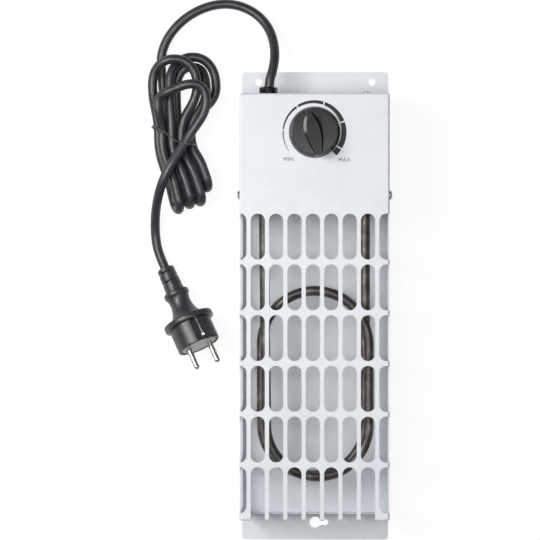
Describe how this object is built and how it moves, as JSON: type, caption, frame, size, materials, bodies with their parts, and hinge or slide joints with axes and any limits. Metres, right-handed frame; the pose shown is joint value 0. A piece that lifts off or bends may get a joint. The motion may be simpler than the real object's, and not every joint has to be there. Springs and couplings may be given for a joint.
{
  "type": "frost-guard tube heater",
  "caption": "Flat white sheet-steel wall heater with a slotted grille over a bent tubular element, a dial thermostat, keyhole back plate, and a tied mains cord with an earthed plug.",
  "frame": {"origin": "centre of the back plate's rear face, which lies on the floor", "axes": "+X across the front to the right, +Y along the casing to the end with the cable gland, +Z out of the front"},
  "size_m": [0.2052, 0.4564, 0.102],
  "materials": {
    "white_powder_coat": "smooth white powder coat",
    "zinc_steel": "zinc-plated sheet steel",
    "element_sheath": "heat-darkened steel sheath",
    "brass": "bare brass",
    "silicone_seal": "silicone end seal",
    "phenolic": "dark phenolic moulding",
    "cutout_aluminium": "drawn aluminium can",
    "white_nylon": "natural nylon",
    "black_plastic": "satin black moulding",
    "brown_insulation": "wire insulation",
    "blue_insulation": "wire insulation",
    "earth_insulation": "green and yellow wire insulation",
    "cord_rubber": "matt black rubber",
    "tie_wire": "plastic-covered wire",
    "nickel": "nickel-plated brass"
  },
  "bodies": {
    "casing": {"back_plate": "white_powder_coat", "block_screw": "zinc_steel", "cable_gland": "black_plastic", "cord_hank": "cord_rubber", "cord_lead": "cord_rubber", "cord_tail": "cord_rubber", "cord_tie": "tie_wire", "cover_bottom_end": "white_powder_coat", "cover_left_side": "white_powder_coat", "cover_right_side": "white_powder_coat", "cover_top_end": "white_powder_coat", "cutout_base": "phenolic", "cutout_can": "cutout_aluminium", "cutout_screws": "zinc_steel", "cutout_tabs": "brass", "divider": "zinc_steel", "divider_rivets": "zinc_steel", "earth_core": "earth_insulation", "earth_nut": "zinc_steel", "earth_ring": "brass", "earth_stud": "zinc_steel", "element_bushes": "brass", "element_nuts": "brass", "element_seals": "silicone_seal", "element_terminals": "zinc_steel", "element_washers": "zinc_steel", "element_wire": "brown_insulation", "front_cover": "white_powder_coat", "heater_tube": "element_sheath", "live_core": "brown_insulation", "live_wire": "brown_insulation", "neutral_core": "blue_insulation", "plug_body": "cord_rubber", "plug_earth_clips": "nickel", "plug_pins": "nickel", "return_wire": "blue_insulation", "side_screws": "zinc_steel", "spindle_bush": "brass", "switched_wire": "brown_insulation", "terminal_block": "white_nylon", "terminal_clamps": "brass", "thermostat_base": "phenolic", "thermostat_bimetal": "zinc_steel", "thermostat_bracket": "zinc_steel", "thermostat_screws": "zinc_steel", "thermostat_tabs": "brass", "top_bracket": "zinc_steel", "top_bracket_rivet": "zinc_steel", "top_screw": "zinc_steel", "top_washer": "zinc_steel"},
    "dial": {"knob": "black_plastic", "spindle": "zinc_steel"}
  },
  "joints": [
    {"name": "dial_turn", "type": "hinge", "parent": "casing", "child": "dial", "pos_m": [0, 0.144, 0.082], "axis": [0, 0, 1], "range_deg": [-150, 113]}
  ]
}
